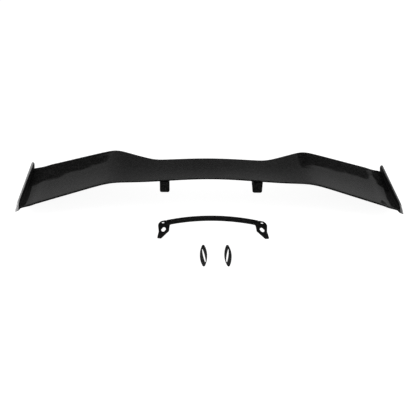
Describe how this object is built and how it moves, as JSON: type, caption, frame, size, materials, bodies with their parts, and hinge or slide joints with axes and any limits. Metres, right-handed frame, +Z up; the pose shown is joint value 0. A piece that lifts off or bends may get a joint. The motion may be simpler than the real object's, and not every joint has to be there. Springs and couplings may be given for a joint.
{
  "type": "rear wing",
  "caption": "Wide car rear wing with a raised centre, drooped tips and end plates, on two short pylons, with its loose foot seals and tie bracket.",
  "frame": {"origin": "midway between the two pylon feet, on the flat face under them", "axes": "+X to the right across the span, +Y forward towards the leading edge, +Z up"},
  "size_m": [1.63, 0.6718, 0.198],
  "materials": {
    "carbon_gloss": "woven carbon laminate under a deep gloss clear coat",
    "carbon_raw": "bare carbon laminate, unpolished",
    "bonding_core": "machined closed-cell filler board",
    "gloss_black": "glossy black moulding",
    "anodised_black": "black anodised aluminium",
    "seal_rubber": "black moulded rubber with a low sheen",
    "steel": "zinc-plated steel",
    "black_steel": "black oxide steel",
    "bronze": "sintered bronze"
  },
  "bodies": {
    "pylons": {"left_pylon_core": "anodised_black", "right_pylon_core": "anodised_black", "left_pylon_fairing": "carbon_gloss", "right_pylon_fairing": "carbon_gloss", "foot_inserts": "steel", "pivot_bushes": "bronze"},
    "wing": {"wing_upper_skin": "carbon_gloss", "wing_lower_skin": "carbon_gloss", "front_spar": "carbon_raw", "rear_spar": "carbon_raw", "trailing_edge_strip": "bonding_core", "left_tip_rib": "bonding_core", "right_tip_rib": "bonding_core", "left_mount_block": "bonding_core", "right_mount_block": "bonding_core", "left_end_plate": "carbon_gloss", "right_end_plate": "carbon_gloss", "end_plate_screws": "black_steel", "left_wing_lug": "anodised_black", "right_wing_lug": "anodised_black", "lug_screws": "black_steel", "pivot_bolts": "black_steel", "pivot_washers": "steel", "pivot_nuts": "steel", "clamp_bolts": "black_steel", "clamp_washers": "steel", "clamp_nuts": "steel"},
    "bracket": {"tie_bracket": "gloss_black"},
    "left_seal": {"left_foot_seal": "seal_rubber"},
    "right_seal": {"right_foot_seal": "seal_rubber"}
  },
  "joints": [
    {"name": "wing_incidence", "type": "hinge", "parent": "pylons", "child": "wing", "pos_m": [0, 0.014, 0.027], "axis": [-1, 0, 0], "range_deg": [-2, 8]},
    {"name": "bracket_fit", "type": "slide", "parent": "pylons", "child": "bracket", "axis": [-0.029, 0.9438, 0.3291], "range_m": [0, 0.2066]},
    {"name": "left_seal_fit", "type": "slide", "parent": "pylons", "child": "left_seal", "axis": [-0.3966, 0.8991, 0.1855], "range_m": [0, 0.42488]},
    {"name": "right_seal_fit", "type": "slide", "parent": "pylons", "child": "right_seal", "axis": [0.3474, 0.9184, 0.1894], "range_m": [0, 0.41595]}
  ]
}
